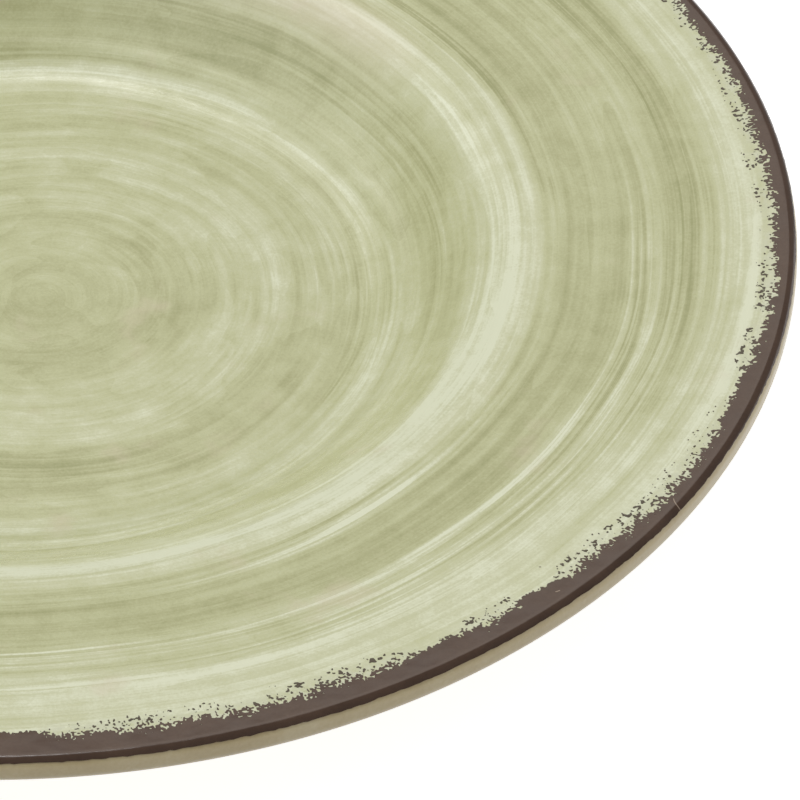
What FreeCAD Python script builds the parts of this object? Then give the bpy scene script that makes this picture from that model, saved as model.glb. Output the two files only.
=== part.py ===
import FreeCAD, Part

import math
import os

import Sketcher

# A wheel-turned stoneware dinner plate with a wide, nearly level rim and a shallow round well.
# Millimetres, +Z up. The origin is on the plate's axis, in the plane that the foot ring stands on.
#
# The fired clay carries its colour in fused coats, each of them a piece of its own here:
# a beige base glaze all over except on the bare foot, and over it, on the face, brushed sage
# green and a brown band round the edge. Every layer is the same turned section, made a little
# larger: the corner arcs keep their centres and the straight runs stay tangent to them, so each
# coat is equally thick everywhere and neighbouring pieces meet face to face.

# Driving dimensions.
SIZES = {
    # overall
    "plate_radius": 139.7,
    "plate_height": 25.0,
    "well_depth": 16.8,
    # coats, measured square to the surface
    "base_coat": 0.4,
    "colour_coat": 0.2,
    # lip: a small round on top, a fuller one below
    "lip_thickness": 5.2,
    "lip_top_round": 1.7,
    "lip_under_round": 2.5,
    # well and shoulder: floor, hollow corner, straight wall, rounded shoulder
    "floor_radius": 60.0,
    "well_round": 20.0,
    "shoulder_radius": 92.2,
    "shoulder_centre_height": 6.0,
    "shoulder_round": 16.0,
    "wall_thickness": 5.4,
    # foot ring
    "heel_radius": 75.0,
    "heel_height": 3.9,
    "heel_round": 3.0,
    "foot_outer_radius": 70.6,
    "foot_inner_radius": 67.8,
    "foot_round": 1.2,
    "recess_radius": 64.6,
    "recess_height": 3.2,
    "recess_round": 1.7,
    "bare_foot_height": 1.6,
    # where the colours change
    "band_inner_radius": 134.4,
    "band_edge_angle": 40.0,
    "dividing_floor_radius": 66.0,
    "dividing_floor_height": 5.6,
    "dividing_shoulder_radius": 90.0,
    "dividing_shoulder_height": 19.2,
    # solids that only cut others reach this far past the plate
    "margin": 10.0,
}

# The turned section as a chain of rounded corners, from the well floor, over the lip and the
# back, to the recess inside the foot ring. Each row gives the arc's centre (radius, height), its
# own radius, and whether it is an outside corner (+1, which grows with a coat) or a hollow one (-1).
CORNERS = [
    ("well", "floor_radius", "plate_height - colour_coat - well_depth + well_round", "well_round", -1),
    ("shoulder", "shoulder_radius", "shoulder_centre_height", "shoulder_round", 1),
    ("lip_top", "plate_radius - lip_top_round", "plate_height - colour_coat - lip_top_round",
     "lip_top_round", 1),
    ("lip_under", "plate_radius - lip_under_round",
     "plate_height - colour_coat - lip_thickness + lip_under_round", "lip_under_round", 1),
    ("rim_root", "shoulder_radius", "shoulder_centre_height", "shoulder_round - wall_thickness", -1),
    ("heel", "heel_radius", "heel_height", "heel_round", -1),
    ("foot_outer", "foot_outer_radius", "foot_round - base_coat", "foot_round", 1),
    ("foot_inner", "foot_inner_radius", "foot_round - base_coat", "foot_round", 1),
    ("recess", "recess_radius", "recess_height - recess_round", "recess_round", -1),
]

START = 1
END = 2
CENTRE = 3
ORIGIN = (-1, 1)
VERTICAL_AXIS = -2

doc = FreeCAD.newDocument("dinner_plate")


def make_sheet():
    sheet = doc.addObject("Spreadsheet::Sheet", "Sizes")
    for row, (name, value) in enumerate(SIZES.items(), start=1):
        sheet.set("A%d" % row, name)
        sheet.set("B%d" % row, str(value))
        sheet.setAlias("B%d" % row, name)
    doc.recompute()
    return sheet


def on_sheet(formula):
    """The formula with each size named as a cell of the sheet."""
    words = []
    for word in formula.split():
        words.append("Sizes." + word if word in SIZES else word)
    return " ".join(words)


def value_of(formula):
    """The number that a sum of sizes comes to, for a sketch's first guess."""
    total = 0.0
    sign = 1.0
    for word in formula.split():
        if word in "+-":
            sign = 1.0 if word == "+" else -1.0
        else:
            total += sign * (SIZES[word] if word in SIZES else float(word))
    return total


def section_plane(body):
    """The body's own XZ plane, where every turned section is drawn."""
    for feature in body.Origin.OriginFeatures:
        if feature.Role == "XZ_Plane":
            return feature
    raise RuntimeError("no XZ plane in " + body.Name)


def new_section(name):
    body = doc.addObject("PartDesign::Body", name)
    sketch = body.newObject("Sketcher::SketchObject", name + "_section")
    sketch.AttachmentSupport = [(section_plane(body), "")]
    sketch.MapMode = "FlatFace"
    return body, sketch


def bind(sketch, kind, name, where, value, formula):
    """Adds a named dimension to the sketch and drives it from the sheet."""
    index = sketch.addConstraint(Sketcher.Constraint(kind, *where, value))
    sketch.renameConstraint(index, name)
    sketch.setExpression("Constraints." + name, on_sheet(formula))


def turn(body, sketch):
    """Spins the section a full turn about the plate's axis."""
    spin = body.newObject("PartDesign::Revolution", body.Name + "_turned")
    spin.Profile = sketch
    spin.ReferenceAxis = (sketch, ["V_Axis"])
    spin.Angle = 360.0
    body.Tip = spin
    doc.recompute()
    return body


def tangent_ends(a, b):
    """End points of the straight run from corner a to corner b, both given as
    (radius, height, arc radius, side), going round the section clockwise."""
    along = b[0] - a[0]
    up = b[1] - a[1]
    apart = math.hypot(along, up)
    heading = math.atan2(up, along)
    # the run's left-hand normal makes this angle with the line of centres
    swing = math.asin((b[2] * b[3] - a[2] * a[3]) / apart)
    normal = heading - swing + math.pi / 2
    ends = []
    for centre_r, centre_h, arc, side in (a, b):
        ends.append((centre_r + side * arc * math.cos(normal), centre_h + side * arc * math.sin(normal)))
    return ends


def add_line(sketch, start, end):
    segment = Part.LineSegment(FreeCAD.Vector(start[0], start[1], 0), FreeCAD.Vector(end[0], end[1], 0))
    return sketch.addGeometry(segment, False)


def add_corner(sketch, corner, first, last):
    """The arc of one corner, from the point first to the point last. An outside corner is
    passed clockwise and a hollow one anticlockwise, and a sketch's arcs run anticlockwise."""
    centre_r, centre_h, arc, side = corner
    entry = math.atan2(first[1] - centre_h, first[0] - centre_r)
    leave = math.atan2(last[1] - centre_h, last[0] - centre_r)
    start, end = (leave, entry) if side > 0 else (entry, leave)
    if end < start:
        end += 2 * math.pi
    circle = Part.Circle(FreeCAD.Vector(centre_r, centre_h, 0), FreeCAD.Vector(0, 0, 1), arc)
    return sketch.addGeometry(Part.ArcOfCircle(circle, start, end), False)


def turned_form(name, growth):
    """The whole plate as one turned solid. growth is the thickness by which it is larger (or,
    if negative, smaller) than the base glaze's outer surface, as a signed sum of sizes."""
    body, sketch = new_section(name)
    grown = value_of(growth)
    corners = []
    for label, across, up, arc, side in CORNERS:
        corners.append((value_of(across), value_of(up), value_of(arc) + side * grown, side))

    # straight runs: well floor, one between each two corners, recess ceiling
    first, last = corners[0], corners[-1]
    floor = (first[0], first[1] - first[2])
    ceiling = (last[0], last[1] + last[2])
    runs = [((0.0, floor[1]), floor)]
    for a, b in zip(corners, corners[1:]):
        runs.append(tangent_ends(a, b))
    runs.append((ceiling, (0.0, ceiling[1])))

    lines = [add_line(sketch, start, end) for start, end in runs]
    arcs = []
    for i, corner in enumerate(corners):
        arcs.append(add_corner(sketch, corner, runs[i][1], runs[i + 1][0]))
    axis = add_line(sketch, runs[-1][1], runs[0][0])

    for i, corner in enumerate(corners):
        entry, leave = (END, START) if corner[3] > 0 else (START, END)
        sketch.addConstraint(Sketcher.Constraint("Tangent", lines[i], END, arcs[i], entry))
        sketch.addConstraint(Sketcher.Constraint("Tangent", arcs[i], leave, lines[i + 1], START))
    sketch.addConstraint(Sketcher.Constraint("Coincident", lines[-1], END, axis, START))
    sketch.addConstraint(Sketcher.Constraint("Coincident", axis, END, lines[0], START))
    sketch.addConstraint(Sketcher.Constraint("PointOnObject", axis, START, VERTICAL_AXIS))
    sketch.addConstraint(Sketcher.Constraint("PointOnObject", axis, END, VERTICAL_AXIS))
    sketch.addConstraint(Sketcher.Constraint("Horizontal", lines[0]))
    sketch.addConstraint(Sketcher.Constraint("Horizontal", lines[-1]))

    for i, (label, across, up, arc, side) in enumerate(CORNERS):
        centre_r, centre_h, radius, _ = corners[i]
        grow_word = " + " if side > 0 else " - "
        radius_formula = arc + grow_word + "( " + growth + " )"
        bind(sketch, "DistanceX", label + "_across", (*ORIGIN, arcs[i], CENTRE), centre_r, across)
        bind(sketch, "DistanceY", label + "_up", (*ORIGIN, arcs[i], CENTRE), centre_h, up)
        bind(sketch, "Radius", label + "_round", (arcs[i],), radius, radius_formula)
    return turn(body, sketch)


def face_side():
    """Everything above a dividing surface that runs inside the clay, from under the well floor,
    up the wall and out through the lip, square to it, at the brown band's lower edge."""
    body, sketch = new_section("face_side")
    lip_centre = (value_of(CORNERS[2][1]), value_of(CORNERS[2][2]))
    angle = math.radians(SIZES["band_edge_angle"])
    reach = SIZES["margin"]
    top = lip_centre[1] + reach
    exit_point = (lip_centre[0] + reach * math.cos(angle), lip_centre[1] + reach * math.sin(angle))
    points = [
        (0.0, SIZES["dividing_floor_height"]),
        (SIZES["dividing_floor_radius"], SIZES["dividing_floor_height"]),
        (SIZES["dividing_shoulder_radius"], SIZES["dividing_shoulder_height"]),
        lip_centre,
        exit_point,
        (exit_point[0], top),
        (0.0, top),
    ]
    count = len(points)
    lines = [add_line(sketch, points[i], points[(i + 1) % count]) for i in range(count)]
    for i in range(count):
        following = lines[(i + 1) % count]
        sketch.addConstraint(Sketcher.Constraint("Coincident", lines[i], END, following, START))
    floor, slope, rim, ray, side, roof, axis = lines
    sketch.addConstraint(Sketcher.Constraint("Horizontal", floor))
    sketch.addConstraint(Sketcher.Constraint("Vertical", side))
    sketch.addConstraint(Sketcher.Constraint("Horizontal", roof))
    sketch.addConstraint(Sketcher.Constraint("PointOnObject", floor, START, VERTICAL_AXIS))
    sketch.addConstraint(Sketcher.Constraint("PointOnObject", roof, END, VERTICAL_AXIS))
    dimensions = [
        ("floor_up", "DistanceY", (*ORIGIN, floor, START), points[0][1], "dividing_floor_height"),
        ("floor_across", "DistanceX", (*ORIGIN, slope, START), points[1][0], "dividing_floor_radius"),
        ("shoulder_across", "DistanceX", (*ORIGIN, rim, START), points[2][0], "dividing_shoulder_radius"),
        ("shoulder_up", "DistanceY", (*ORIGIN, rim, START), points[2][1], "dividing_shoulder_height"),
        ("lip_across", "DistanceX", (*ORIGIN, ray, START), lip_centre[0], CORNERS[2][1]),
        ("lip_up", "DistanceY", (*ORIGIN, ray, START), lip_centre[1], CORNERS[2][2]),
        ("ray_length", "Distance", (ray,), reach, "margin"),
        ("ray_angle", "Angle", (ray,), angle, "band_edge_angle"),
        ("roof_up", "DistanceY", (*ORIGIN, roof, START), top, CORNERS[2][2] + " + margin"),
    ]
    for label, kind, where, value, formula in dimensions:
        bind(sketch, kind, label, where, value, formula)
    return turn(body, sketch)


def round_block(name, radius, bottom, height):
    """A plain upright cylinder on the axis, which only helps to divide other solids."""
    block = doc.addObject("Part::Cylinder", name)
    block.setExpression("Radius", on_sheet(radius))
    block.setExpression("Height", on_sheet(height))
    block.setExpression("Placement.Base.z", on_sheet(bottom))
    return block


def cut(name, base, tool):
    result = doc.addObject("Part::Cut", name)
    result.Base = base
    result.Tool = tool
    return result


def common(name, base, tool):
    result = doc.addObject("Part::Common", name)
    result.Base = base
    result.Tool = tool
    return result


def clay_body():
    """The fired stoneware: the plate less its base glaze. Its foot ring is bare and stands at 0."""
    return turned_form("clay_body", "0 - base_coat")


def base_coat_pieces(clay, glazed):
    """The beige glaze, wiped off the foot: one coat over face, lip and back, and one in the recess."""
    coat = cut("base_coat_all_round", glazed, clay)
    above_foot = round_block("above_bare_foot", "plate_radius + margin", "bare_foot_height", "plate_height")
    kept = common("base_coat_kept", coat, above_foot)
    inside_foot = round_block("inside_foot", "foot_inner_radius", "0", "dividing_floor_height")
    base_glaze = cut("base_glaze", kept, inside_foot)
    recess_glaze = common("foot_recess_glaze", kept, inside_foot)
    return base_glaze, recess_glaze


def colour_coat_pieces(glazed):
    """The colours on the face: the sage green brushwork, and the brown band over the lip."""
    coloured = turned_form("coloured_form", "colour_coat")
    coat = cut("colour_coat_all_round", coloured, glazed)
    face_coat = common("colour_coat_face", coat, face_side())
    inside_band = round_block("inside_band", "band_inner_radius", "0", "plate_height + margin")
    sage_brushwork = common("sage_brushwork", face_coat, inside_band)
    brown_rim_band = cut("brown_rim_band", face_coat, inside_band)
    return sage_brushwork, brown_rim_band


def build():
    make_sheet()
    clay = clay_body()
    glazed = turned_form("glazed_form", "0")
    base_glaze, recess_glaze = base_coat_pieces(clay, glazed)
    sage_brushwork, brown_rim_band = colour_coat_pieces(glazed)
    doc.recompute()
    pieces = [clay, base_glaze, recess_glaze, sage_brushwork, brown_rim_band]
    for piece in pieces:
        piece.Label = piece.Name
    return pieces


def check(pieces):
    for thing in doc.Objects:
        if "Invalid" in thing.State or "Error" in thing.State:
            raise RuntimeError("%s failed: %s" % (thing.Name, thing.State))
    for piece in pieces:
        shape = piece.Shape
        if shape.isNull() or not shape.isValid():
            raise RuntimeError(piece.Name + " has no valid shape")
        if len(shape.Solids) != 1:
            raise RuntimeError("%s is %d solids" % (piece.Name, len(shape.Solids)))


def export(pieces):
    os.makedirs("parts", exist_ok=True)
    for piece in pieces:
        piece.Shape.exportStep("parts/%s.step" % piece.Label)
        box = piece.Shape.optimalBoundingBox()
        print("%-18s %9.1f mm3, z %.2f to %.2f, radius %.2f"
              % (piece.Label, piece.Shape.Volume, box.ZMin, box.ZMax, box.XMax))


pieces = build()
check(pieces)
export(pieces)
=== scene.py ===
import math

import bpy
import numpy as np
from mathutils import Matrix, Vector
from mathutils.geometry import delaunay_2d_cdt


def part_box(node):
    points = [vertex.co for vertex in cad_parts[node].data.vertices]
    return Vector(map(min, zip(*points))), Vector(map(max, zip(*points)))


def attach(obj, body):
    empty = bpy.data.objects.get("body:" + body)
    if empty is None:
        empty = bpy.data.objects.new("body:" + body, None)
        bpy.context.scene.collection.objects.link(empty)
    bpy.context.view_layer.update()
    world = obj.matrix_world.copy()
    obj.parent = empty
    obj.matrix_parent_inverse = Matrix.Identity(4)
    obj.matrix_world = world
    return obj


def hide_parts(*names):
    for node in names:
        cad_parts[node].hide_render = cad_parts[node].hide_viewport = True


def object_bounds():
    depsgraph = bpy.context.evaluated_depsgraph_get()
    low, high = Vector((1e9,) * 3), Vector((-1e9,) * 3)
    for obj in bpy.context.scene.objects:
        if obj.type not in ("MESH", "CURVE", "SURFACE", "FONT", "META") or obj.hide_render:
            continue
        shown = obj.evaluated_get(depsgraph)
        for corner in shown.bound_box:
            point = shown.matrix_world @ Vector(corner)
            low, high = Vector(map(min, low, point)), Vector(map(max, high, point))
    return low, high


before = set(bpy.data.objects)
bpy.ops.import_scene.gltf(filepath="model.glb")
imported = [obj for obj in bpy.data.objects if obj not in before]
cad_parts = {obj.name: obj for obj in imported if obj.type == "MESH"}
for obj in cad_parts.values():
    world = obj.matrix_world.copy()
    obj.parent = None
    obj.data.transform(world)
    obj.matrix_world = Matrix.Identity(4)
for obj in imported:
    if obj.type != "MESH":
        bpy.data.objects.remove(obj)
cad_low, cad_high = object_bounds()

# A hand-brushed stoneware dinner plate. Its section is worked out in millimetres, and every mesh
# is written in metres. Each coat is the base glaze's outer surface moved out or in along its normal.

MM = 0.001
SEED = 76

# ---------------------------------------------------------------- sizes, in millimetres

PLATE_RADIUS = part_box("base_glaze")[1].x / MM
PLATE_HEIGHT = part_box("brown_rim_band")[1].z / MM
WELL_DEPTH = 16.8
BASE_COAT = 0.4
COLOUR_COAT = 0.2
GLAZE_TOP = PLATE_HEIGHT - COLOUR_COAT

LIP_THICKNESS = 5.2
LIP_TOP_ROUND = 1.7
LIP_UNDER_ROUND = 2.5
FLOOR_RADIUS = 60.0
WELL_ROUND = 20.0
SHOULDER = (92.2, 6.0)
SHOULDER_ROUND = 16.0
WALL_THICKNESS = 5.4
HEEL = (75.0, 3.9)
HEEL_ROUND = 3.0
FOOT_OUTER_RADIUS = 70.6
FOOT_INNER_RADIUS = 67.8
FOOT_ROUND = 1.2
BARE_FOOT = 1.6            # the foot is left unglazed up to here
RECESS_RADIUS = 64.6
RECESS_HEIGHT = 3.2
RECESS_ROUND = 1.7

# the rounded corners from the well floor over the lip to the foot recess:
# name, centre radius, centre height, arc radius, outside (+1) or hollow (-1)
CORNERS = [
    ("well", FLOOR_RADIUS, GLAZE_TOP - WELL_DEPTH + WELL_ROUND, WELL_ROUND, -1),
    ("shoulder", *SHOULDER, SHOULDER_ROUND, 1),
    ("lip_top", PLATE_RADIUS - LIP_TOP_ROUND, GLAZE_TOP - LIP_TOP_ROUND, LIP_TOP_ROUND, 1),
    ("lip_under", PLATE_RADIUS - LIP_UNDER_ROUND, GLAZE_TOP - LIP_THICKNESS + LIP_UNDER_ROUND,
     LIP_UNDER_ROUND, 1),
    ("rim_root", *SHOULDER, SHOULDER_ROUND - WALL_THICKNESS, -1),
    ("heel", *HEEL, HEEL_ROUND, -1),
    ("foot_outer", FOOT_OUTER_RADIUS, FOOT_ROUND - BASE_COAT, FOOT_ROUND, 1),
    ("foot_inner", FOOT_INNER_RADIUS, FOOT_ROUND - BASE_COAT, FOOT_ROUND, 1),
    ("recess", RECESS_RADIUS, RECESS_HEIGHT - RECESS_ROUND, RECESS_ROUND, -1),
]

SIDES = 400                # steps round each turned piece
BAND_SIDES = 1200          # steps round the brown band
STRAIGHT_STEP = 4.0        # between the section's points on its straight runs
CORNER_STEP = 6.0          # between them on its corners, in degrees
SHARP_EDGE = 40.0          # two faces meet in a sharp edge from this angle up, in degrees

CREASE_RADIUS = PLATE_RADIUS - LIP_TOP_ROUND    # where the rim's face begins to roll over the lip
STITCH_RADIUS = CREASE_RADIUS - 0.6     # inside this the brown band may be torn
BAND_EDGE_ANGLE = 40.0     # where on the lip's top round the brown ends, in degrees up
GREEN_TOP = 0.14           # the green coat's growth; the brown lies on it, up to COLOUR_COAT
GREEN_END = CREASE_RADIUS - 0.2
GREEN_STEP = 0.8           # between the green's points near the torn edge

TORN_REACH = 12.0          # the furthest that brown specks lie in from the crease
TORN_SIDES = 5700          # cells round the plate in the grid that the torn edge is cut from
TORN_STEP = 0.14           # the depth of one cell
TORN_START = 0.3           # from the crease to the first cells
BROWN_HOLD = 0.9           # brown always covers the green this far in from the crease
CELL_MARGIN = 0.04         # the outline stays this share of a cell's edge away from its ends

# the brown's mean width on top of the rim, and how it swells: how many times in a turn, by how
# much, and where from, in degrees. The brush leant harder on the near side.
BAND_WIDTH = 3.8
BAND_SWELLS = [(1, 1.45, 115), (2, 0.85, 200)]

# where the brush was dry, by its noise: wet below the first value and dry above the second
DRYNESS = (-0.70, 0.25)
DRY_RETREAT = 0.4          # how far the edge draws back where the brush was dry
WET_RAGGED = 0.42          # how far the sponge's noise moves the edge where the brush was wet,
DRY_RAGGED = 1.6           # and how much further where it was dry

# specks of brown thrown past the edge: how far, how spread out, and how dry the brush has to be
THROWN_REACH = 2.0
THROWN_SPREAD = 1.3
THROWN_DRYNESS = (0.2, 0.8)

# where the green is worn through to cream, and where the brown lies thin, each from not at all to
# most: the first is measured outwards from the brown's mean edge, and the second inwards
WORN_REACH = (-3.2, -0.6)
THIN_REACH = (-0.6, 1.0)

# the rim's unevenness: how many waves round the plate, their height, and where they start
RIM_WAVES = [(2, 0.05, 0.7), (3, 0.04, 2.1), (7, 0.02, 0.0)]
RIM_DROP = 0.06

# layers of noise: the strength of each, and the size of its cells round the plate and inwards.
# DEEP is more than the band's whole depth, so that nothing changes inwards.
DEEP = 99.0
EDGE_WANDER = [(0.55, 22.0, DEEP), (0.35, 7.0, DEEP)]
EDGE_BITE = [(0.30, 2.6, DEEP)]
BRUSH_SKIP = [(0.55, 10.0, DEEP), (0.6, 4.5, DEEP)]
SPONGE = [(0.35, 1.8, 1.5), (0.45, 0.65, 0.7), (1.0, 0.31, 0.38)]
SPECKLE = [(0.75, 0.45, 0.5), (0.4, 0.3, 0.35), (0.5, 4.0, 1.2)]
LIP_LINE = [(0.11, 1.0, DEEP), (0.06, 6.0, DEEP)]

# ---------------------------------------------------------------- view and light

VIEW_ELEVATION = 39.6      # degrees above the lip's plane
VIEW_DISTANCE = 1.8        # metres from the lip's middle
VIEW_AIM = (66.8, -50.2)   # millimetres from the lip's middle
LENS = 456.2               # the focal length, for a sensor this wide
SENSOR = 36.0

FLOOR_REACH = 40.0         # metres
FLOOR_GAP = 0.0002         # metres under the foot
FLOOR_GLOW = 0.80
ROOM_LIGHT = 0.40
ROOM_LIGHT_BELOW = 0.28
LIGHT_DISTANCE = 1.8       # metres

# soft area lights that face the plate: azimuth (0 in front of it, towards -Y) and elevation in
# degrees, width and height in metres, power in watts, and tint
WHITE = (1.0, 1.0, 1.0)
LIGHTS = {
    "Left_key": (245, 60, 2.2, 1.3, 16.5, WHITE),
    "Back_spot": (187, 57, 0.24, 0.2, 2.0, WHITE),
    "Low_back_softbox": (183, 46.5, 1.2, 0.5, 2.1, (1.0, 0.93, 0.85)),
    "Right_fill": (98, 10, 2.6, 0.5, 5.0, WHITE),
}


# ---------------------------------------------------------------- the turned section

def run_normal(a, b):
    """Angle of the outward normal of the straight run from corner a to corner b."""
    along = b[1] - a[1]
    up = b[2] - a[2]
    swing = math.asin((b[3] * b[4] - a[3] * a[4]) / math.hypot(along, up))
    return math.atan2(up, along) + swing + math.pi / 2


def trace_section():
    """Points and outward normals along the base glaze's outer surface, and where each corner is.
    A coat that is g thicker has its surface at points + g * normals."""
    normals = [math.pi / 2]
    for a, b in zip(CORNERS, CORNERS[1:]):
        normals.append(run_normal(a, b))
    normals.append(-math.pi / 2)

    points = []
    directions = []
    spans = {}
    last = (0.0, CORNERS[0][2] - CORNERS[0][3])
    for i, (name, centre_r, centre_z, arc, side) in enumerate(CORNERS):
        first = normals[i]
        turn = normals[i + 1] - first
        turn = (turn + math.pi) % (2 * math.pi) - math.pi
        start = (centre_r + side * arc * math.cos(first), centre_z + side * arc * math.sin(first))
        steps = max(1, round(math.dist(last, start) / STRAIGHT_STEP))
        for k in range(steps):
            f = k / steps
            points.append((last[0] + f * (start[0] - last[0]), last[1] + f * (start[1] - last[1])))
            directions.append(first)
        steps = max(4, round(math.degrees(abs(turn)) / CORNER_STEP))
        begin = len(points)
        for k in range(steps + 1):
            angle = first + turn * k / steps
            points.append((centre_r + side * arc * math.cos(angle),
                           centre_z + side * arc * math.sin(angle)))
            directions.append(angle)
        spans[name] = (begin, len(points) - 1)
        last = points[-1]
    # the recess is flat and hidden, so its last run has fewer points
    steps = round(last[0] / (4 * STRAIGHT_STEP))
    for k in range(1, steps + 1):
        points.append((last[0] * (1 - k / steps), last[1]))
        directions.append(-math.pi / 2)
    angles = np.array(directions)
    return np.array(points), np.stack([np.cos(angles), np.sin(angles)], 1), spans


POINTS, NORMALS, SPANS = trace_section()


def coat(growth, first=0, last=None):
    """The section's points from index first to last, moved out along their normals by growth."""
    part = slice(first, None if last is None else last + 1)
    return POINTS[part] + growth * NORMALS[part]


def face_height(radius, growth):
    """Height of the face at a radius inside the lip's crease, for a coat of that growth."""
    crease = SPANS["lip_top"][0]
    line = coat(growth, 0, crease)
    return np.interp(radius, line[:, 0], line[:, 1])


def warp(xyz):
    """The slight unevenness of a plate that was turned, dried and fired: its rim rises and falls
    by about a tenth of a millimetre, in three unequal waves. xyz is in millimetres."""
    reach = (np.hypot(xyz[:, 0], xyz[:, 1]) / PLATE_RADIUS) ** 4
    turn = np.arctan2(xyz[:, 1], xyz[:, 0])
    wave = sum(height * np.sin(count * turn + start) for count, height, start in RIM_WAVES)
    warped = xyz.copy()
    warped[:, 2] += reach * wave - reach * RIM_DROP
    return warped


# ---------------------------------------------------------------- making meshes

def turn_angles(sides):
    """Angles of that many equal steps round the plate."""
    return np.arange(sides) * 2 * math.pi / sides


def new_piece(name, vertices, faces, node, material):
    """A smooth-shaded piece from vertices in millimetres. It rides on the one body, stands for
    the CAD node, which it hides, and takes the material it is given."""
    mesh = bpy.data.meshes.new(name)
    mesh.from_pydata((warp(np.asarray(vertices, float)) * MM).tolist(), [], faces)
    mesh.update()
    mesh.validate()
    mesh.materials.append(material)
    piece = bpy.data.objects.new(name, mesh)
    bpy.context.scene.collection.objects.link(piece)
    mesh.polygons.foreach_set("use_smooth", [True] * len(mesh.polygons))
    mesh.set_sharp_from_angle(angle=math.radians(SHARP_EDGE))
    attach(piece, "root")
    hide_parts(node)
    return piece


def turned(loop, sides):
    """Vertices and faces of a closed solid turned from a closed loop of (radius, height), whose
    points go clockwise. Points on the axis become poles."""
    turns = turn_angles(sides)
    vertices = []
    rows = []
    for radius, height in loop:
        if radius < 1e-6:
            rows.append([len(vertices)])
            vertices.append((0.0, 0.0, height))
        else:
            rows.append(list(range(len(vertices), len(vertices) + sides)))
            vertices.extend(zip(radius * np.cos(turns), radius * np.sin(turns), [height] * sides))
    faces = []
    for a, b in zip(rows, rows[1:] + rows[:1]):
        if len(a) == 1 and len(b) == 1:
            continue
        for k in range(sides):
            n = (k + 1) % sides
            if len(a) == 1:
                faces.append((a[0], b[k], b[n]))
            elif len(b) == 1:
                faces.append((a[k], b[0], a[n]))
            else:
                faces.append((a[k], b[k], b[n], a[n]))
    return vertices, faces


def shell(outer_growth, inner_growth, first, last):
    """A closed loop round one coat: out along its outer surface and back along its inner one."""
    return np.concatenate([coat(outer_growth, first, last), coat(inner_growth, first, last)[::-1]])


# ---------------------------------------------------------------- the torn edge of the brown band

def band_width(turn):
    """Mean width of the brown on top of the rim, at an angle round the plate."""
    swells = [size * np.cos(count * turn + math.radians(start)) for count, size, start in BAND_SWELLS]
    return sum(swells, BAND_WIDTH)


def stretch(value, low, high):
    """0 below low, 1 above high, and smooth between."""
    f = np.clip((value - low) / (high - low), 0, 1)
    return f * f * (3 - 2 * f)


def ring_noise(rng, turn, inward, across, along):
    """Smooth noise from -1 to 1 over the band, made from a random value at each crossing of a
    grid of cells, across mm long round the plate and along mm long towards its middle."""
    columns = max(3, round(2 * math.pi * CREASE_RADIUS / across))
    rows = int(2 * TORN_REACH / along) + 3
    grid = rng.uniform(-1, 1, (columns, rows))
    u = (turn / (2 * math.pi) % 1.0) * columns
    v = (inward + TORN_REACH / 2) / along
    i = np.floor(u).astype(int)
    j = np.clip(np.floor(v).astype(int), 0, rows - 2)
    fu = stretch(u - i, 0, 1)
    fv = stretch(v - j, 0, 1)
    near = i % columns
    far = (i + 1) % columns
    low = grid[near, j] * (1 - fu) + grid[far, j] * fu
    high = grid[near, j + 1] * (1 - fu) + grid[far, j + 1] * fu
    return low * (1 - fv) + high * fv


def layered(rng, turn, inward, layers):
    """The sum of several layers of ring noise, each (strength, across, along)."""
    return sum(strength * ring_noise(rng, turn, inward, across, along)
               for strength, across, along in layers)


def dry_brush(turn):
    """At an angle round the plate, how dry the brush was, from 0 to 1, and the width of the
    brown there. The edge runs smooth for a stretch, then breaks up where the brush skipped."""
    rng = np.random.default_rng(SEED)
    zero = np.zeros_like(turn)
    wander = layered(rng, turn, zero, EDGE_WANDER)
    bite = layered(rng, turn, zero, EDGE_BITE)
    skip = layered(rng, turn, zero, BRUSH_SKIP)
    return stretch(skip, *DRYNESS), band_width(turn) + wander + bite


def paint_brown(turn, inward):
    """Above 0 where the brown covers the green, over angles and distances in from the crease."""
    dryness, width = dry_brush(turn)
    depth = width - inward
    rng = np.random.default_rng(SEED + 2)
    sponge = layered(rng, turn, inward, SPONGE)
    coverage = depth - DRY_RETREAT * dryness + (WET_RAGGED + DRY_RAGGED * dryness) * sponge

    # a few specks thrown further in, beyond the driest stretches
    speckle = layered(rng, turn, inward, SPECKLE)
    near_reach = np.exp(-((depth + THROWN_REACH) / THROWN_SPREAD) ** 2)
    thrown = stretch(dryness, *THROWN_DRYNESS) * near_reach
    specks = 6 * (speckle + 0.7 * thrown - 1.15)
    coverage = np.maximum(coverage, np.where(thrown > 0.1, specks, -1.0))
    return np.maximum(coverage, BROWN_HOLD - inward)


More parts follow.
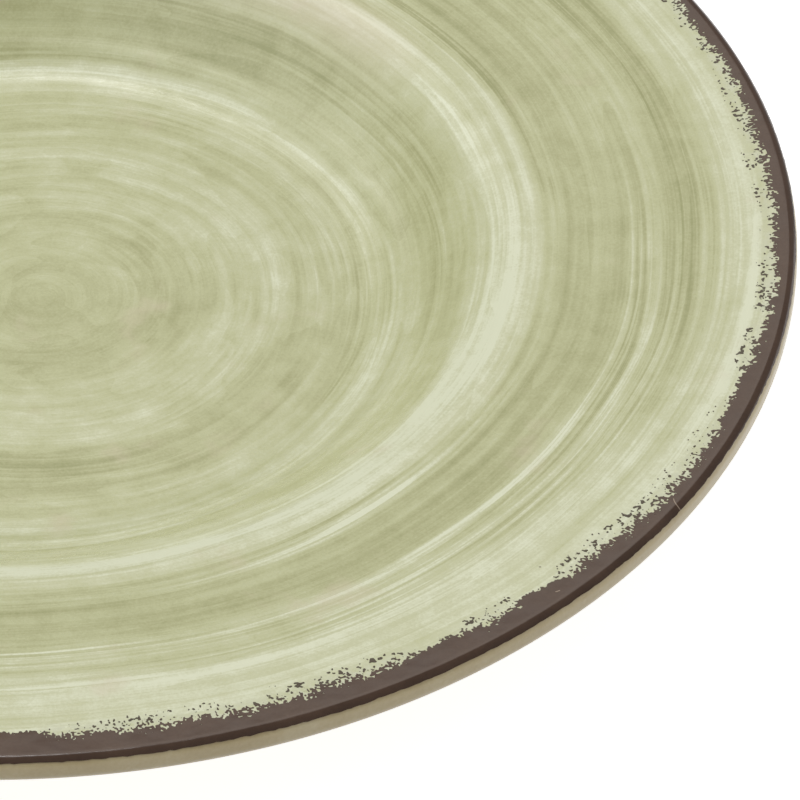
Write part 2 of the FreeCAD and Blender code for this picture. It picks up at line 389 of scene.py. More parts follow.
def torn_outline():
    """Closed outlines between brown and green, as points (x, y) and pairs of them. They cut
    straight across the cells of a fine grid."""
    columns = TORN_SIDES
    inward = np.arange(TORN_START, TORN_REACH, TORN_STEP)
    grid = paint_brown(*np.meshgrid(turn_angles(columns), inward, indexing="ij"))
    # green all along the innermost row, so that every outline closes, and nowhere just at 0
    grid[:, -1] = -1.0
    grid[grid == 0] = 1e-6

    points = []
    at_edge = {}
    pairs = []

    def crossing(i, j, across):
        """Index of the point where the outline crosses one edge of a cell, which runs across
        (round the plate) or inwards. It stays a little away from the edge's ends."""
        key = (i % columns, j, across)
        if key not in at_edge:
            a = grid[i % columns, j]
            b = grid[(i + 1) % columns, j] if across else grid[i % columns, j + 1]
            f = min(max(a / (a - b), CELL_MARGIN), 1 - CELL_MARGIN)
            angle = (i + (f if across else 0)) * 2 * math.pi / columns
            radius = CREASE_RADIUS - (inward[j] + (0 if across else f) * TORN_STEP)
            at_edge[key] = len(points)
            points.append((radius * math.cos(angle), radius * math.sin(angle)))
        return at_edge[key]

    brown = grid > 0
    following = np.roll(brown, -1, 0)
    corners = [brown[:, :-1], following[:, :-1], following[:, 1:], brown[:, 1:]]
    count = sum(c.astype(int) for c in corners)
    for i, j in zip(*np.nonzero((count > 0) & (count < 4))):
        sides = []
        edges = [(i, j, True), (i + 1, j, False), (i, j + 1, True), (i, j, False)]
        for k in range(4):
            if corners[k][i, j] != corners[(k + 1) % 4][i, j]:
                sides.append(crossing(*edges[k]))
        if len(sides) == 2:
            pairs.append((sides[0], sides[1]))
        else:
            # brown in two opposite corners: they join if the cell's middle is brown
            n = (i + 1) % columns
            middle = grid[i, j] + grid[n, j] + grid[i, j + 1] + grid[n, j + 1]
            turn_first = (middle > 0) == bool(corners[0][i, j])
            order = (0, 1, 2, 3) if turn_first else (3, 0, 1, 2)
            pairs.append((sides[order[0]], sides[order[1]]))
            pairs.append((sides[order[2]], sides[order[3]]))
    return points, pairs


def brown_triangles(triangles, start, cuts):
    """The triangles that are brown. Brown starts at one of them, and changes to green and back
    wherever the edge between two neighbours is a cut."""
    beside = {}
    for t, corners in enumerate(triangles):
        for a, b in zip(corners, corners[1:] + corners[:1]):
            beside.setdefault(frozenset((a, b)), []).append(t)
    first = beside[start][0]
    brown = {first: True}
    waiting = [first]
    while waiting:
        t = waiting.pop()
        corners = triangles[t]
        for a, b in zip(corners, corners[1:] + corners[:1]):
            edge = frozenset((a, b))
            for other in beside[edge]:
                if other not in brown:
                    brown[other] = brown[t] != (edge in cuts)
                    waiting.append(other)
    return [triangles[t] for t, is_brown in brown.items() if is_brown]


def torn_top():
    """The brown on top of the rim, in plan: points (x, y), the triangles that are brown, and which
    points lie on the stitch circle, in order round it."""
    outline, pairs = torn_outline()
    circle = [(STITCH_RADIUS * math.cos(t), STITCH_RADIUS * math.sin(t))
              for t in turn_angles(BAND_SIDES)]
    edges = [(k, (k + 1) % BAND_SIDES) for k in range(BAND_SIDES)]
    edges += [(a + BAND_SIDES, b + BAND_SIDES) for a, b in pairs]
    points, _, triangles, origins, _, _ = delaunay_2d_cdt(
        [Vector(p) for p in circle + outline], edges, [], 0, 1e-5, True)
    found = {source: k for k, sources in enumerate(origins) for source in sources}
    cuts = {frozenset((found[a], found[b])) for a, b in edges[BAND_SIDES:]}
    kept = brown_triangles(triangles, frozenset((found[0], found[1])), cuts)

    used = sorted({k for corners in kept for k in corners})
    place = {k: n for n, k in enumerate(used)}
    plan = np.array([points[k][:] for k in used])
    brown = [[place[k] for k in corners] for corners in kept]
    ring = [place[found[k]] for k in range(BAND_SIDES)]
    return plan, brown, ring


def bridge(row, following):
    """Faces between two rows of points round the plate."""
    sides = len(row)
    return [(row[k], following[k], following[(k + 1) % sides], row[(k + 1) % sides])
            for k in range(sides)]


def brown_band():
    """Vertices and faces of the brown coat: torn on top of the rim, rolled over the lip, and
    ending in a slightly ragged line on the lip's side."""
    plan, triangles, ring = torn_top()
    radii = np.hypot(plan[:, 0], plan[:, 1])
    count = len(plan)
    top = np.column_stack([plan, face_height(radii, COLOUR_COAT)])
    low = np.column_stack([plan, face_height(radii, GREEN_TOP)])
    vertices = [top, low]
    faces = [tuple(t) for t in triangles] + [tuple(k + count for k in t[::-1]) for t in triangles]

    # walls down from every torn edge, but not on the stitch circle
    on_circle = {frozenset(pair) for pair in zip(ring, ring[1:] + ring[:1])}
    directed = {(a, b) for t in triangles for a, b in zip(t, t[1:] + t[:1])}
    for a, b in directed:
        if (b, a) not in directed and frozenset((a, b)) not in on_circle:
            faces.append((b, a, a + count, b + count))

    # rows over the lip: along the outer surface, then back along the surface it lies on
    begin, end = SPANS["lip_top"]
    rise = np.arctan2(NORMALS[begin:end + 1, 1], NORMALS[begin:end + 1, 0])
    last = begin + int(np.argmin(np.abs(rise - math.radians(BAND_EDGE_ANGLE))))
    rows = [tuple(p) for p in coat(COLOUR_COAT, begin, last)]
    rows += [tuple(p) for p in coat(0.0, begin, last)[::-3]]
    rows += [(GREEN_END, face_height(GREEN_END, growth)) for growth in (0.0, GREEN_TOP)]

    rng = np.random.default_rng(SEED + 1)
    turns = turn_angles(BAND_SIDES)
    zero = np.zeros(BAND_SIDES)
    ragged = layered(rng, turns, zero, LIP_LINE)
    down = last - begin + 1
    side = np.array([math.sin(rise[last - begin]), -math.cos(rise[last - begin])])
    previous = list(ring)
    total = 2 * count
    for k, (radius, height) in enumerate(rows):
        # the last rows of each surface carry the ragged line, less so further from it
        from_edge = abs(k - (down - 0.5)) - 0.5
        shift = ragged * max(0.0, 1 - from_edge / 3)
        row_radius = radius + shift * side[0]
        row_height = height + shift * side[1]
        vertices.append(np.column_stack(
            [row_radius * np.cos(turns), row_radius * np.sin(turns), row_height + zero]))
        row = list(range(total, total + BAND_SIDES))
        faces += bridge(previous, row)
        previous = row
        total += BAND_SIDES
    faces += bridge(previous, [k + count for k in ring])
    return np.concatenate(vertices), faces


# ---------------------------------------------------------------- materials

def paint(red, green, blue):
    """A colour given as it looks on a screen, 0 to 255, as the shader's linear values."""
    def linear(value):
        value /= 255
        return value / 12.92 if value <= 0.04045 else ((value + 0.055) / 1.055) ** 2.4
    return (linear(red), linear(green), linear(blue), 1.0)


class Graph:
    """Short ways to add shader nodes to one material. Lengths are in millimetres."""

    def __init__(self, name):
        self.material = bpy.data.materials.new(name)
        self.material.use_nodes = True
        self.tree = self.material.node_tree
        self.tree.nodes.clear()
        self.shader = self.tree.nodes.new("ShaderNodeBsdfPrincipled")
        output = self.tree.nodes.new("ShaderNodeOutputMaterial")
        self.tree.links.new(self.shader.outputs["BSDF"], output.inputs["Surface"])
        self.place = self.vector("SCALE", self.node("ShaderNodeTexCoord").outputs["Object"], scale=1 / MM)

    def node(self, kind, **settings):
        """A new node of a kind, with its settings."""
        made = self.tree.nodes.new(kind)
        for name, value in settings.items():
            setattr(made, name, value)
        return made

    def feed(self, socket, value):
        """Links an output to a socket, or sets the socket to a fixed value."""
        if isinstance(value, bpy.types.NodeSocket):
            self.tree.links.new(value, socket)
        elif value is not None:
            socket.default_value = value

    def math(self, operation, a, b=None, c=None, clamp=False):
        """One step of arithmetic on up to three values."""
        made = self.node("ShaderNodeMath", operation=operation, use_clamp=clamp)
        for socket, value in zip(made.inputs, (a, b, c)):
            self.feed(socket, value)
        return made.outputs[0]

    def vector(self, operation, a, b=None, scale=None):
        """One step on vectors. A length or a dot product gives a number."""
        made = self.node("ShaderNodeVectorMath", operation=operation)
        self.feed(made.inputs[0], a)
        if b is not None:
            self.feed(made.inputs[1], b)
        if scale is not None:
            self.feed(made.inputs["Scale"], scale)
        return made.outputs["Value" if operation in ("LENGTH", "DOT_PRODUCT") else "Vector"]

    def join(self, x, y, z):
        """A vector from three values."""
        made = self.node("ShaderNodeCombineXYZ")
        for socket, value in zip(made.inputs, (x, y, z)):
            self.feed(socket, value)
        return made.outputs[0]

    def split(self, vector):
        """A vector's three values."""
        made = self.node("ShaderNodeSeparateXYZ")
        self.feed(made.inputs[0], vector)
        return made.outputs

    def noise(self, vector, size=1.0, detail=2.0, roughness=0.5, distortion=0.0):
        """Noise from 0 to 1 with features about size across."""
        made = self.node("ShaderNodeTexNoise")
        self.feed(made.inputs["Vector"], vector)
        made.inputs["Scale"].default_value = 1 / size
        made.inputs["Detail"].default_value = detail
        made.inputs["Roughness"].default_value = roughness
        made.inputs["Distortion"].default_value = distortion
        return made.outputs["Fac"]

    def remap(self, value, low, high, to_low=0.0, to_high=1.0):
        """to_low where a value is at low or under, to_high at high or over, smooth between."""
        made = self.node("ShaderNodeMapRange", interpolation_type="SMOOTHSTEP")
        self.feed(made.inputs["Value"], value)
        limits = {"From Min": low, "From Max": high, "To Min": to_low, "To Max": to_high}
        for name, number in limits.items():
            made.inputs[name].default_value = number
        return made.outputs["Result"]

    def centred(self, value, spread):
        """A value from 0 to 1, as one from half the spread below 0 to half the spread above."""
        return self.math("MULTIPLY_ADD", value, spread, -spread / 2)

    def weigh(self, a, a_share, b, b_share):
        """A share of one value plus a share of another."""
        return self.math("ADD", self.math("MULTIPLY", a, a_share), self.math("MULTIPLY", b, b_share))

    def ramp(self, value, stops):
        """A colour ramp. Stops are (place, colour), with place from 0 to 1."""
        made = self.node("ShaderNodeValToRGB")
        elements = made.color_ramp.elements
        elements[0].position, elements[0].color = stops[0]
        elements[1].position, elements[1].color = stops[-1]
        for place, colour in stops[1:-1]:
            elements.new(place).color = colour
        self.feed(made.inputs["Fac"], value)
        return made.outputs["Color"]

    def tones(self, value, table):
        """A colour ramp from a table of (place, colour as it looks on a screen)."""
        return self.ramp(value, [(place, paint(*tone)) for place, tone in table])

    def by_radius(self, ring, table):
        """What a table of (radius in millimetres, value) says at each radius."""
        reach = PLATE_RADIUS + 1
        stops = [(radius / reach, (value, value, value, 1.0)) for radius, value in table]
        return self.ramp(self.math("DIVIDE", ring, reach), stops)

    def stroke(self, ring, heading, middle, width, turn, half, strength):
        """Paint along part of a ring, thickest in the middle of its width and length."""
        off = self.math("DIVIDE", self.math("SUBTRACT", ring, middle), width)
        across = self.math("EXPONENT", self.math("MULTIPLY", self.math("MULTIPLY", off, off), -1.0))
        turn = math.radians(turn)
        half = math.radians(half)
        towards = self.weigh(heading[0], math.cos(turn), heading[1], math.sin(turn))
        along = self.remap(towards, math.cos(half), math.cos(half * 0.4), 0.0, strength)
        return self.math("MULTIPLY", across, along)

    def scratch(self, flat, middle, heading, half_length, half_width):
        """1 along a short fine scratch, seen from above, that bends a little."""
        heading = math.radians(heading)
        from_middle = self.vector("SUBTRACT", flat, (*middle, 0.0))
        along = self.vector("DOT_PRODUCT", from_middle, (math.cos(heading), math.sin(heading), 0.0))
        aside = self.vector("DOT_PRODUCT", from_middle, (-math.sin(heading), math.cos(heading), 0.0))
        bend = self.math("MULTIPLY", self.math("MULTIPLY", along, along), 0.16)
        off_line = self.math("ABSOLUTE", self.math("SUBTRACT", aside, bend))
        on_line = self.remap(off_line, half_width * 0.5, half_width * 1.5, 1.0, 0.0)
        within = self.remap(self.math("ABSOLUTE", along), half_length * 0.7, half_length, 1.0, 0.0)
        return self.math("MULTIPLY", on_line, within)

    def mix(self, share, a, b):
        """Colour a, turning to colour b as the share goes from 0 to 1."""
        made = self.node("ShaderNodeMix", data_type="RGBA")
        self.feed(made.inputs["Factor"], share)
        for socket, value in ((made.inputs[6], a), (made.inputs[7], b)):
            self.feed(socket, value)
        return made.outputs[2]

    def bump(self, height, depth, normal=None):
        """Relief whose height of 1 stands depth millimetres proud."""
        made = self.node("ShaderNodeBump")
        made.inputs["Strength"].default_value = 1.0
        made.inputs["Distance"].default_value = depth * MM
        self.feed(made.inputs["Height"], height)
        if normal is not None:
            self.feed(made.inputs["Normal"], normal)
        return made.outputs["Normal"]

    def specks(self, spacing, radius, share):
        """1 inside sparse round specks. Only a share of the cells, spacing across, holds one."""
        made = self.node("ShaderNodeTexVoronoi")
        self.feed(made.inputs["Vector"], self.place)
        made.inputs["Scale"].default_value = 1 / spacing
        chosen = self.math("LESS_THAN", self.split(made.outputs["Color"])[0], share)
        edge = radius / spacing
        inside = self.remap(made.outputs["Distance"], edge * 0.7, edge * 1.3, 1.0, 0.0)
        return self.math("MULTIPLY", chosen, inside)

    def finish(self, colour, roughness, normal, settings):
        """Feeds the shader and gives the material. Settings are numbers that are the same all
        over the surface, and go on the shader's own sockets."""
        self.feed(self.shader.inputs["Base Color"], colour)
        self.feed(self.shader.inputs["Roughness"], roughness)
        self.feed(self.shader.inputs["Normal"], normal)
        for name, value in settings.items():
            self.shader.inputs[name].default_value = value
        return self.material


# how thickly the green lies at each radius, in millimetres, from 0 (cream shows) to 1 (deep green)
GREEN_RINGS = [
    (0, 0.70), (6, 0.66), (12, 0.60), (22, 0.58), (30, 0.40), (43, 0.46), (46, 0.58), (50, 0.46),
    (60, 0.36), (63, 0.32), (68, 0.38), (73, 0.40), (78, 0.42), (82, 0.30), (85, 0.16), (88, 0.06),
    (90.5, 0.08), (93, 0.42), (95.5, 0.56), (96.2, 0.66), (97.3, 0.44), (100, 0.78), (101.2, 0.56),
    (103, 0.70), (109, 0.62), (111, 0.40), (113, 0.52), (115, 0.36), (118.5, 0.52), (123, 0.46),
    (126, 0.32), (139, 0.18),
]

# where the cream blushes pink, given like a stroke
BLUSH = (87.0, 5.0, 62, 34, 0.5)

# how strongly single bristles show at each radius, in millimetres
BRISTLE_RINGS = [
    (0, 0.2), (20, 0.35), (50, 0.40), (68, 0.45), (88, 0.36), (94, 0.9), (97.5, 0.7), (100, 0.18),
    (109, 0.22), (110.5, 1.0), (118, 0.8), (122, 0.45), (139, 0.25),
]

# heavier and lighter strokes that go only part of the way round: radius and width in millimetres,
# the middle's angle and half its length in degrees, and how much green it adds or takes away
# the strokes on the right side of the well wall, from 65 to 78 mm, are brushwork and painted shade
STROKES_AND_SHADE = [
    (121.0, 3.6, 12, 50, 0.36),
    (121.5, 4.5, -68, 42, -0.26),
    (117.0, 1.4, -60, 40, 0.14),
    (117.0, 2.2, 12, 34, 0.18),
    (111.0, 2.0, -76, 20, -0.20),
    # brushwork and painted shade: this stroke darkens the right side of the well wall
    (65.0, 2.2, 22, 36, 0.10),
    (111.0, 1.5, -45, 22, -0.24),
    (96.6, 0.9, -47, 20, -0.36),
    (94.0, 1.6, 0, 50, -0.22),
    (88.0, 4.0, 25, 42, 0.14),
    # brushwork and painted shade: these two strokes darken the right side of the well wall
    (78.0, 4.5, 25, 45, 0.10),
    (69.0, 4.0, 20, 50, 0.16),
    (73.5, 3.0, -80, 40, 0.06),
    (58.0, 4.0, -5, 50, 0.14),
    (51.0, 4.0, -85, 40, 0.16),
    (104.0, 5.0, 150, 60, -0.20),
    (122.0, 5.0, 130, 45, 0.30),
    (113.0, 3.0, 200, 50, 0.26),
    (76.0, 6.0, 78, 44, 0.30),
    (68.0, 5.0, 170, 70, 0.18),
]

# the brush turned about a point a little beside the middle of the well
BRUSH_MIDDLE = (5.5, 0.5, 0.0)
MIDDLE_REACH = 24.0        # within this the strokes shorten instead of meeting in a point

# colours as they look on a screen, 0 to 255; in a table, each with its place from 0 to 1.
# The green goes from thin to thick, the others from dark to light.
GREEN_TONES = [
    (0.00, (232, 235, 205)), (0.25, (213, 215, 177)), (0.50, (199, 201, 155)),
    (0.75, (183, 184, 136)), (1.00, (164, 166, 115)),
]
PINK_BLUSH = (217, 205, 176)
WORN_CREAM = (214, 216, 186)
PIN_SPECK = (96, 82, 52)

BROWN_TONES = [(0.32, (72, 50, 36)), (0.50, (80, 58, 43)), (0.70, (90, 68, 52))]
# painted shade: darker tones for the brown where it rolls over the lip
ROLL_SHADE_TONES = [(0.3, (62, 41, 26)), (0.7, (80, 58, 42))]
THIN_BROWN = (68, 62, 38)
SCRATCHED = (188, 168, 146)

BEIGE_TONES = [(0.30, (198, 177, 130)), (0.52, (211, 193, 148)), (0.72, (222, 208, 170))]
IRON_SPECK = (128, 106, 74)

CLAY_TONES = [(0.32, (184, 158, 122)), (0.52, (204, 182, 148)), (0.70, (222, 206, 178))]
GRIT_SPECK = (104, 78, 52)


def sage_material():
    """Sage green brushed on in rings while the plate turned: broad bands, streaks a few millimetres
    wide and the lines of single bristles, cloudy in the middle of the well, and painted shade on the
    right side of its wall."""
    g = Graph("Sage_green_glaze")
    flat = g.vector("MULTIPLY", g.place, (1.0, 1.0, 0.0))
    radius = g.vector("LENGTH", flat)
    off_centre = g.remap(radius, 50.0, 92.0, 1.0, 0.0)
    swirl = g.vector("SUBTRACT", flat, g.vector("SCALE", BRUSH_MIDDLE, scale=off_centre))
    wobble = g.centred(g.noise(flat, size=60.0, detail=1.0), 3.0)
    ring = g.math("ADD", g.vector("LENGTH", swirl), wobble)
    heading = g.split(g.vector("NORMALIZE", swirl))
    reach = g.math("MAXIMUM", g.vector("LENGTH", swirl), MIDDLE_REACH)
    around = g.split(g.vector("SCALE", swirl, scale=g.math("DIVIDE", 1.0, reach)))

    def streaks(width, density, detail):
        """Noise drawn out round the plate: width across, with about 6 times density features in
        one turn."""
        along_x = g.math("MULTIPLY", around[0], density)
        along_y = g.math("MULTIPLY", around[1], density)
        across = g.math("DIVIDE", ring, width)
        return g.noise(g.join(along_x, along_y, across), detail=detail, roughness=0.55)

    bands = streaks(9.0, 0.7, 2.0)
    strokes = streaks(2.4, 1.5, 3.0)
    coarse_bristles = g.remap(streaks(1.1, 1.8, 1.0), 0.38, 0.62)
    fine_bristles = g.remap(streaks(0.45, 2.2, 1.0), 0.40, 0.60)
    bristles = g.weigh(coarse_bristles, 0.6, fine_bristles, 0.4)
    # each stroke ends in a soft edge where the next one laps over it
    laps = g.math("FRACT", g.math("MULTIPLY", streaks(11.0, 0.9, 1.0), 6.0))
    # single bristles show only where the brush ran dry, and mostly on the rim
    dry = g.remap(streaks(7.0, 0.9, 1.0), 0.40, 0.58, 0.25, 1.0)
    dry = g.math("MULTIPLY", dry, g.by_radius(ring, BRISTLE_RINGS))
    cloud = g.noise(flat, size=22.0, detail=4.0, roughness=0.6, distortion=0.4)
    mottle = g.noise(flat, size=5.0, detail=4.0, roughness=0.65)
    grain = g.noise(g.place, size=0.55, detail=2.0, roughness=0.7)

    rings = g.by_radius(ring, GREEN_RINGS)
    # the strokes add brushwork, and on the right side of the well wall painted shade too
    for middle, width, turn, half, strength in STROKES_AND_SHADE:
        rings = g.math("ADD", rings, g.stroke(ring, heading, middle, width, turn, half, strength))
    # the middle of the well is cloudier and less streaked than the rim
    in_well = g.remap(radius, 30.0, 95.0, 1.0, 0.0)
    cloudiness = g.math("MULTIPLY_ADD", in_well, 0.30, 0.35)
    streak_share = g.remap(radius, 0.0, 80.0, 0.5, 1.0)
    dry_bristles = g.math("MULTIPLY", g.centred(bristles, 0.7), dry)
    streak_sum = g.math("ADD", g.centred(strokes, 0.85), dry_bristles)
    cover = g.math("ADD", rings, g.centred(bands, 0.7))
    cover = g.math("ADD", cover, g.centred(laps, 0.10))
    cover = g.math("MULTIPLY_ADD", streak_sum, streak_share, cover)
    cover = g.math("MULTIPLY_ADD", g.math("SUBTRACT", cloud, 0.5), cloudiness, cover)
    cover = g.math("ADD", cover, g.centred(mottle, 0.5))
    cover = g.math("ADD", cover, g.centred(grain, 0.40), clamp=True)

    green = g.tones(cover, GREEN_TONES)
    flattened = g.vector("MULTIPLY", g.place, (1.0, 1.0, 0.2))
    blush = g.remap(g.noise(flattened, size=16.0, detail=3.0, roughness=0.6), 0.60, 0.76, 0.0, 0.4)
    blush = g.math("ADD", blush, g.stroke(ring, heading, *BLUSH), clamp=True)
    green = g.mix(blush, green, paint(*PINK_BLUSH))
    # near the torn edge the brush left flecks where the cream shows
    worn = g.node("ShaderNodeAttribute", attribute_name="worn").outputs["Fac"]
    flecks = g.remap(g.noise(g.place, size=1.1, detail=3.0, roughness=0.7), 0.38, 0.58)
    green = g.mix(g.math("MULTIPLY", worn, flecks), green, paint(*WORN_CREAM))
    pins = g.specks(spacing=11.0, radius=0.28, share=0.05)
    green = g.mix(g.math("MULTIPLY", pins, 0.75), green, paint(*PIN_SPECK))

    roughness = g.math("ADD", g.remap(cover, 0.0, 1.0, 0.24, 0.33), g.centred(mottle, 0.14))
    ripple = g.bump(g.noise(g.place, size=14.0), depth=0.10)
    gritty = g.bump(grain, depth=0.006, normal=ripple)
    normal = g.bump(g.weigh(bristles, 0.35, strokes, 0.65), depth=0.035, normal=gritty)
    settings = {"IOR": 1.46, "Coat Weight": 0.08, "Coat Roughness": 0.10}
    return g.finish(green, roughness, normal, settings)


# fine scratches across the brown: angle round the plate, radius, heading, half length and width
SCRATCHES = [
    (-35.3, 138.2, -66, 1.7, 0.08),
    (-48.0, 136.2, 20, 0.5, 0.10),
    (97.0, 137.0, 70, 1.1, 0.07),
]


def brown_material():
    """Dark brown glaze, with painted shade: darker where it rolls over the lip."""
    g = Graph("Brown_glaze")
    flat = g.vector("MULTIPLY", g.place, (1.0, 1.0, 0.0))
    radius = g.vector("LENGTH", flat)
    patch = g.noise(g.place, size=9.0, detail=3.0, roughness=0.6)
    grain = g.noise(g.place, size=0.7, detail=3.0, roughness=0.7)
    tone = g.weigh(patch, 0.65, grain, 0.35)
    # painted shade: over the lip's roll the brown turns to its darker tones
    rolled = g.remap(radius, CREASE_RADIUS - 0.3, CREASE_RADIUS + 0.5, 0.0, 1.0)
    colour = g.mix(rolled, g.tones(tone, BROWN_TONES), g.tones(tone, ROLL_SHADE_TONES))
    # flecks lie thin on the green, which tints them
    thin = g.node("ShaderNodeAttribute", attribute_name="thin").outputs["Fac"]
    colour = g.mix(g.math("MULTIPLY", thin, 0.7), colour, paint(*THIN_BROWN))
    for turn, radius_at, heading, half_length, half_width in SCRATCHES:
        angle = math.radians(turn)
        middle = (radius_at * math.cos(angle), radius_at * math.sin(angle))
        mark = g.scratch(flat, middle, heading, half_length, half_width)
        colour = g.mix(g.math("MULTIPLY", mark, 0.7), colour, paint(*SCRATCHED))
    roughness = g.remap(patch, 0.3, 0.7, 0.11, 0.17)
    uneven = g.bump(g.noise(g.place, size=6.0), depth=0.05)
    normal = g.bump(grain, depth=0.004, normal=uneven)
    return g.finish(colour, roughness, normal, {"IOR": 1.5})


def beige_material():
    """The beige base glaze: a little greener and browner in patches, with fine iron specks."""
    g = Graph("Beige_glaze")
    patch = g.noise(g.place, size=18.0, detail=3.0, roughness=0.6)
    grain = g.noise(g.place, size=0.8, detail=3.0, roughness=0.65)
    colour = g.tones(g.weigh(patch, 0.7, grain, 0.3), BEIGE_TONES)
    specks = g.specks(spacing=3.2, radius=0.16, share=0.12)
    colour = g.mix(g.math("MULTIPLY", specks, 0.5), colour, paint(*IRON_SPECK))
    roughness = g.remap(patch, 0.3, 0.7, 0.30, 0.42)
    ripple = g.bump(g.noise(g.place, size=11.0), depth=0.12)
    normal = g.bump(grain, depth=0.012, normal=ripple)
    settings = {"IOR": 1.48, "Coat Weight": 0.25, "Coat Roughness": 0.18}
    return g.finish(colour, roughness, normal, settings)


def clay_material():
    """Bare fired clay where the plate stands: matt, gritty and speckled."""
    g = Graph("Bare_clay")
    grit = g.noise(g.place, size=0.45, detail=4.0, roughness=0.75)
    patch = g.noise(g.place, size=12.0, detail=3.0, roughness=0.6)
    colour = g.tones(g.weigh(grit, 0.5, patch, 0.5), CLAY_TONES)
    specks = g.specks(spacing=1.6, radius=0.13, share=0.16)
    colour = g.mix(g.math("MULTIPLY", specks, 0.7), colour, paint(*GRIT_SPECK))
    roughness = g.remap(grit, 0.3, 0.7, 0.78, 0.92)
    return g.finish(colour, roughness, g.bump(grit, depth=0.05), {})


# ---------------------------------------------------------------- the plate

def glaze_line(span, height):
    """Index of the section's point on a foot corner that lies nearest to a height."""
    first, last = span
    heights = POINTS[first:last + 1, 1]
    return first + int(np.argmin(np.abs(heights - height)))


def mark_points(piece, name, share):
    """Gives each point of a piece a value under that name. share works it out from the point's
    angle round the plate and its distance in from the crease, in millimetres."""
    mesh = piece.data
    places = np.empty(len(mesh.vertices) * 3)
    mesh.vertices.foreach_get("co", places)
    places = places.reshape(-1, 3) / MM
    turn = np.arctan2(places[:, 1], places[:, 0])
    inward = CREASE_RADIUS - np.hypot(places[:, 0], places[:, 1])
    mesh.attributes.new(name, "FLOAT", "POINT").data.foreach_set("value", share(turn, inward))


def worn_share(turn, inward):
    """How far the green is worn through to cream beside the torn edge of the brown, 0 to 1."""
    dryness, width = dry_brush(turn)
    return dryness * stretch(width - inward, *WORN_REACH)


def thin_share(turn, inward):
    """How thin the brown lies, 0 to 1: thinnest in the flecks beyond its mean width."""
    width = dry_brush(turn)[1]
    return stretch(inward - width, *THIN_REACH)


def sage_loop():
    """The closed loop of the green coat, with closer points where it shows between the flecks."""
    crease = SPANS["lip_top"][0]
    edge_rows = np.arange(GREEN_END - TORN_REACH, GREEN_END + 0.01, GREEN_STEP)
    face, under = [
        [tuple(p) for p in coat(growth, 0, crease) if p[0] < edge_rows[0] - 0.2]
        + [(radius, face_height(radius, growth)) for radius in edge_rows]
        for growth in (GREEN_TOP, 0.0)
    ]
    return face + under[::-1]


def build_plate():
    """The clay body and its four coats, each a closed piece of its own."""
    beige = beige_material()
    last = len(POINTS) - 1
    glaze_end = glaze_line(SPANS["foot_outer"], BARE_FOOT)
    recess_start = glaze_line(SPANS["foot_inner"], BARE_FOOT)

    vertices, faces = turned(coat(-BASE_COAT), SIDES)
    new_piece("Clay_body", vertices, faces, "clay_body", clay_material())

    vertices, faces = turned(shell(0.0, -BASE_COAT, 0, glaze_end), SIDES)
    new_piece("Base_glaze", vertices, faces, "base_glaze", beige)

    vertices, faces = turned(shell(0.0, -BASE_COAT, recess_start, last), SIDES)
    new_piece("Foot_recess_glaze", vertices, faces, "foot_recess_glaze", beige)

    vertices, faces = turned(sage_loop(), SIDES)
    sage = new_piece("Sage_brushwork", vertices, faces, "sage_brushwork",
                     sage_material())
    mark_points(sage, "worn", worn_share)

    vertices, faces = brown_band()
    brown = new_piece("Brown_rim_band", vertices, faces, "brown_rim_band",
                      brown_material())
    mark_points(brown, "thin", thin_share)


# ---------------------------------------------------------------- floor, light and camera

def make_floor():
    """A large pale floor under the plate. It glows, so that it looks white and shows no shadow."""
    reach = FLOOR_REACH
    mesh = bpy.data.meshes.new("Floor")
    mesh.from_pydata([(-reach, -reach, 0), (reach, -reach, 0), (reach, reach, 0), (-reach, reach, 0)],
                     [], [(0, 1, 2, 3)])
    floor = bpy.data.objects.new("Floor", mesh)
    bpy.context.scene.collection.objects.link(floor)
    floor.location.z = cad_low.z - FLOOR_GAP
    material = bpy.data.materials.new("Pale_floor")
    material.use_nodes = True
    shader = material.node_tree.nodes["Principled BSDF"]
    shader.inputs["Base Color"].default_value = (0.8, 0.8, 0.8, 1.0)
    shader.inputs["Roughness"].default_value = 0.9
    shader.inputs["Specular IOR Level"].default_value = 0.0
    shader.inputs["Emission Color"].default_value = (1.0, 1.0, 1.0, 1.0)
    shader.inputs["Emission Strength"].default_value = FLOOR_GLOW
    mesh.materials.append(material)
    # it looks pale but doesn't light the plate's side from below
    floor.visible_diffuse = False


def softbox(name, azimuth, elevation, width, height, power, tint):
    """One soft area light that faces the plate."""
    light = bpy.data.lights.new(name, "AREA")
    light.shape = "RECTANGLE"
    light.size = width
    light.size_y = height
    light.energy = power
    light.color = tint
    lamp = bpy.data.objects.new(name, light)
    bpy.context.scene.collection.objects.link(lamp)
    a = math.radians(azimuth)
    e = math.radians(elevation)
    away = Vector((math.sin(a) * math.cos(e), -math.cos(a) * math.cos(e), math.sin(e)))
    lamp.location = away * LIGHT_DISTANCE
    lamp.rotation_euler = away.to_track_quat("Z", "Y").to_euler()


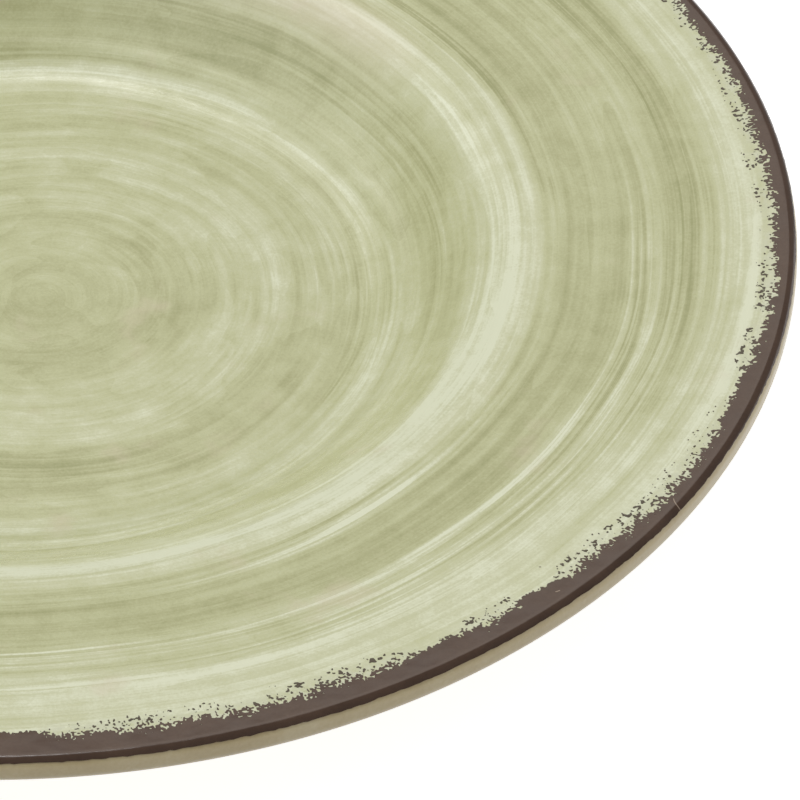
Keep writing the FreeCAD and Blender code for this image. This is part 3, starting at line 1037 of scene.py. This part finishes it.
def light_scene():
    """A pale room, a broad panel high to the left, a small one behind that draws a short line of
    light along the lip, a dim panel lower behind, and a low one that fills the right side."""
    world = bpy.data.worlds.new("Pale_room")
    bpy.context.scene.world = world
    world.use_nodes = True
    tree = world.node_tree
    background = tree.nodes["Background"]
    heading = tree.nodes.new("ShaderNodeTexCoord")
    up = tree.nodes.new("ShaderNodeSeparateXYZ")
    fade = tree.nodes.new("ShaderNodeMapRange")
    tree.links.new(heading.outputs["Generated"], up.inputs[0])
    tree.links.new(up.outputs["Z"], fade.inputs["Value"])
    fade.inputs["From Min"].default_value = -0.1
    fade.inputs["From Max"].default_value = 0.1
    fade.inputs["To Min"].default_value = ROOM_LIGHT_BELOW
    fade.inputs["To Max"].default_value = ROOM_LIGHT
    # the room itself looks white, like the floor, so no horizon shows behind the plate
    seen = tree.nodes.new("ShaderNodeLightPath")
    brighter = tree.nodes.new("ShaderNodeMath")
    brighter.operation = "MAXIMUM"
    tree.links.new(fade.outputs["Result"], brighter.inputs[0])
    tree.links.new(seen.outputs["Is Camera Ray"], brighter.inputs[1])
    tree.links.new(brighter.outputs[0], background.inputs["Strength"])
    background.inputs["Color"].default_value = (1.0, 1.0, 1.0, 1.0)
    for name, settings in LIGHTS.items():
        softbox(name, *settings)
    bpy.context.scene.view_settings.view_transform = "Standard"
    bpy.context.scene.view_settings.look = "None"


def place_camera():
    """A long lens, looking down on the near right part of the plate."""
    camera = bpy.data.cameras.new("Camera")
    camera.sensor_width = SENSOR
    camera.lens = LENS
    camera.clip_start = 0.05
    camera.clip_end = 200.0
    holder = bpy.data.objects.new("Camera", camera)
    bpy.context.scene.collection.objects.link(holder)
    bpy.context.scene.camera = holder
    down = math.radians(VIEW_ELEVATION)
    lip = Vector((0.0, 0.0, cad_high.z))
    holder.location = lip + Vector((0.0, -math.cos(down), math.sin(down))) * VIEW_DISTANCE
    aim = lip + Vector((VIEW_AIM[0], VIEW_AIM[1], 0.0)) * MM
    holder.rotation_euler = (aim - holder.location).to_track_quat("-Z", "Y").to_euler()


build_plate()
make_floor()
light_scene()
place_camera()
